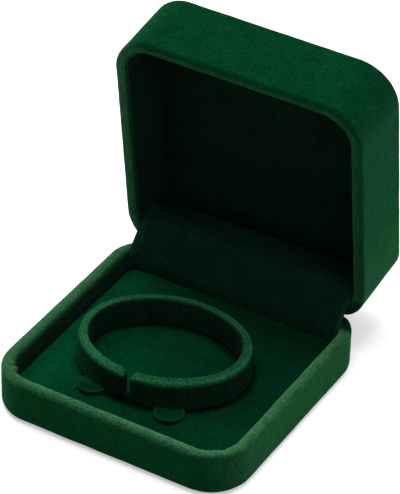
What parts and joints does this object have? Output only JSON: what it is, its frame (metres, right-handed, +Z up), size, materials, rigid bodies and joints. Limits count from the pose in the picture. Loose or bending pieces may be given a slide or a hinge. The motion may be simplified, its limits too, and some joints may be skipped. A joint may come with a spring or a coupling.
{
  "type": "velvet bracelet box",
  "caption": "Square hinged jewellery box wrapped in green velvet, lid open, with a C-shaped bracelet ring on a flat pad and a velvet flap over the hinge.",
  "frame": {"origin": "centre of the base's underside, where the box stands", "axes": "+X to the right seen from the open front, +Y to the hinge, +Z up"},
  "size_m": [0.095, 0.119, 0.111],
  "materials": {
    "outer_velvet": "short-pile green velvet with a soft sheen",
    "inner_velvet": "short-pile green velvet",
    "ring_velvet": "short-pile green velvet on a moulded band",
    "flap_velvet": "flexible velvet strip",
    "moulded_shell": "injection-moulded, hidden",
    "card": "grey board, hidden",
    "foam": "soft foam sheet, hidden",
    "underside_paper": "textured paper on board",
    "hinge_steel": "plated steel"
  },
  "bodies": {
    "base": {"base_shell": "moulded_shell", "base_cover": "outer_velvet", "base_bottom_panel": "underside_paper", "base_wall_lining": "inner_velvet", "pad_riser": "card", "pad_board": "card", "pad_foam": "foam", "pad_cover": "inner_velvet", "ring_core": "moulded_shell", "ring_cover": "ring_velvet", "tab_left": "ring_velvet", "tab_right": "ring_velvet", "hinge_leaf_base": "hinge_steel", "hinge_pin": "hinge_steel", "snap_spring": "hinge_steel", "base_rivets": "hinge_steel", "hinge_flap": "flap_velvet"},
    "lid": {"lid_shell": "moulded_shell", "lid_cover": "outer_velvet", "lid_wall_lining": "inner_velvet", "lid_panel_board": "card", "lid_panel_foam": "foam", "lid_panel_cover": "inner_velvet", "hinge_leaf_lid": "hinge_steel", "lid_rivets": "hinge_steel"}
  },
  "joints": [
    {"name": "lid_hinge", "type": "hinge", "parent": "base", "child": "lid", "pos_m": [0, 0.0446, 0.0163], "axis": [1, 0, 0], "range_deg": [0, 82.2], "deforming": ["hinge_flap"]}
  ]
}
